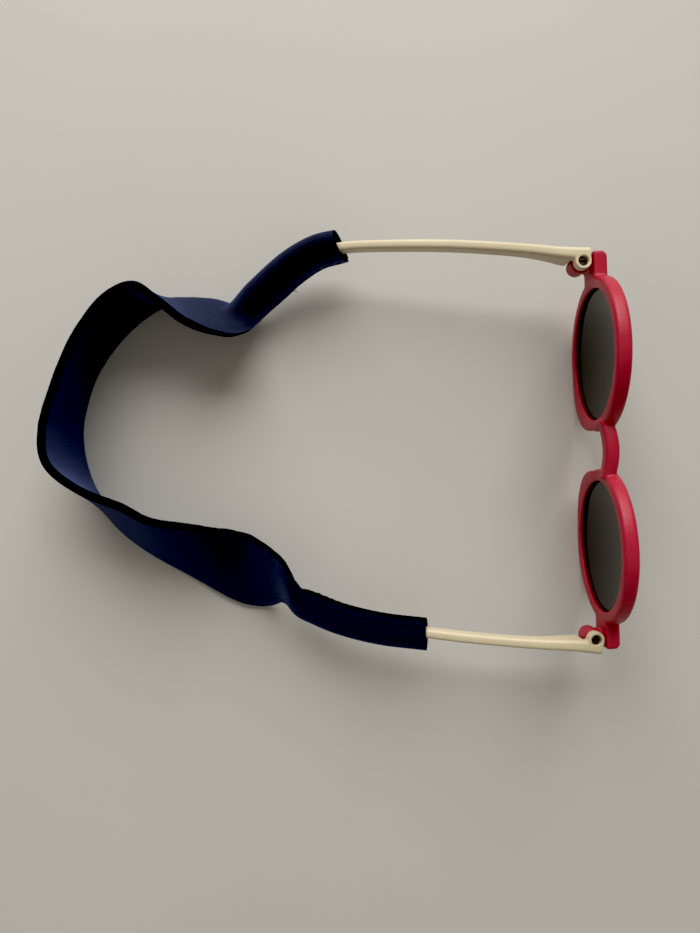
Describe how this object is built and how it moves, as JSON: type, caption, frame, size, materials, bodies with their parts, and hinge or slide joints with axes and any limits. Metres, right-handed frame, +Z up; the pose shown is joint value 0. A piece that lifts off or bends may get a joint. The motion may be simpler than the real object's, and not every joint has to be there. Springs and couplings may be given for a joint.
{
  "type": "sunglasses with neoprene retainer strap",
  "caption": "Child's round sunglasses with folding temples and a flat neoprene retainer strap sleeved over the temple tips.",
  "frame": {"origin": "centre of the whole object's bounding box at table level", "axes": "+X from the strap towards the front of the glasses, +Y towards the wearer's left temple, +Z up from the table"},
  "size_m": [0.1517, 0.1156, 0.0409],
  "materials": {
    "red_moulded_plastic": "satin moulded",
    "cream_moulded_plastic": "satin moulded",
    "smoke_lens": "polished dark tint",
    "steel_screw": "dull",
    "navy_neoprene": "knit-faced foam",
    "black_thread": "matte"
  },
  "bodies": {
    "glasses_front": {"front_frame": "red_moulded_plastic", "lens_left": "smoke_lens", "lens_right": "smoke_lens", "hinge_screw_left": "steel_screw", "hinge_screw_right": "steel_screw"},
    "temple_left": {"temple_left": "cream_moulded_plastic", "strap_sleeve_left": "navy_neoprene", "seam_thread_left": "black_thread"},
    "temple_right": {"temple_right": "cream_moulded_plastic", "strap_sleeve_right": "navy_neoprene", "seam_thread_right": "black_thread"},
    "strap_left_run": {"strap_band_1": "navy_neoprene", "strap_band_2": "navy_neoprene"},
    "strap_back_run": {"strap_band_3": "navy_neoprene", "strap_band_4": "navy_neoprene"},
    "strap_right_run": {"strap_band_5": "navy_neoprene"},
    "strap_right_end": {"strap_band_6": "navy_neoprene"}
  },
  "joints": [
    {"name": "fold_left", "type": "hinge", "parent": "glasses_front", "child": "temple_left", "pos_m": [0.0686, 0.04565, 0.0199], "axis": [0, 0, 1], "range_deg": [0, 80]},
    {"name": "fold_right", "type": "hinge", "parent": "glasses_front", "child": "temple_right", "pos_m": [0.0686, -0.05385, 0.0199], "axis": [0, 0, -1], "range_deg": [0, 78]},
    {"name": "strap_left_turn", "type": "hinge", "parent": "temple_left", "child": "strap_left_run", "pos_m": [-0.0237, 0.0383, 0.01], "axis": [0, 0, 1], "range_deg": [-80, 0], "deforming": ["strap_band_1", "strap_band_2"]},
    {"name": "strap_back_shift", "type": "slide", "parent": "strap_left_run", "child": "strap_back_run", "axis": [0.7377, 0.6751, 0], "range_m": [0, 0.10151], "deforming": ["strap_band_3", "strap_band_4"]},
    {"name": "strap_right_shift", "type": "slide", "parent": "strap_back_run", "child": "strap_right_run", "axis": [-0.7016, 0.7126, 0], "range_m": [0, 0.11923], "deforming": ["strap_band_5"]},
    {"name": "strap_right_turn", "type": "hinge", "parent": "temple_right", "child": "strap_right_end", "pos_m": [-0.011, -0.0419, 0.012], "axis": [0, 0, -1], "range_deg": [-78, 0], "deforming": ["strap_band_6"]}
  ],
  "couplings": [
    {"joint": "strap_left_turn", "follows": "fold_left", "ratio": -1},
    {"joint": "strap_back_shift", "follows": "fold_right", "m_per_rad": 0.074419},
    {"joint": "strap_right_shift", "follows": "fold_left", "m_per_rad": 0.085252},
    {"joint": "strap_right_turn", "follows": "fold_right", "ratio": -1}
  ]
}
